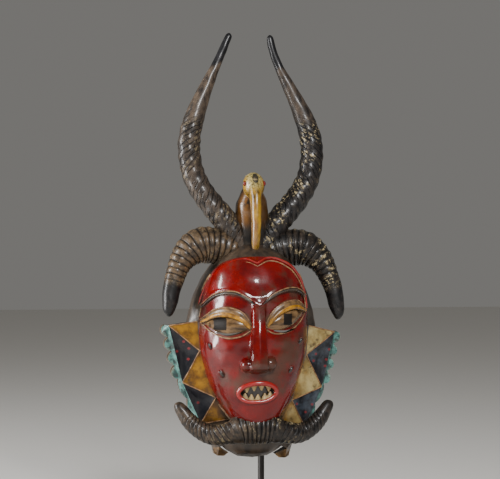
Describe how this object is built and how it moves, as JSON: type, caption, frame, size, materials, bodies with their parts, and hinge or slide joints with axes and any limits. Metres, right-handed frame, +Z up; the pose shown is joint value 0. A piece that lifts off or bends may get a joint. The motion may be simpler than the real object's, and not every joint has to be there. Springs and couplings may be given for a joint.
{
  "type": "carved face mask",
  "caption": "Carved and painted wooden face mask with a bird, tall antelope horns, ram's horns, a folded collar and horns at the chin, hung on a metal stand",
  "frame": {"origin": "middle of the base plate's underside, where the stand meets what it stands on", "axes": "the mask faces -Y, +X is to the viewer's right, +Z is up"},
  "size_m": [0.2178, 0.1666, 0.6237],
  "materials": {
    "painted_wood": "deep red lacquer on the face, black and brown horns worn to pale wood, ochre, blue-black and turquoise collar",
    "black_steel": "satin black lacquer",
    "grey_felt": "matt felt"
  },
  "bodies": {
    "root": {"mask": "painted_wood", "stand_base": "black_steel", "stand_rod": "black_steel", "hanger_bar": "black_steel", "steady_bar": "black_steel", "felt_pad_left": "grey_felt", "felt_pad_right": "grey_felt"}
  },
  "joints": []
}
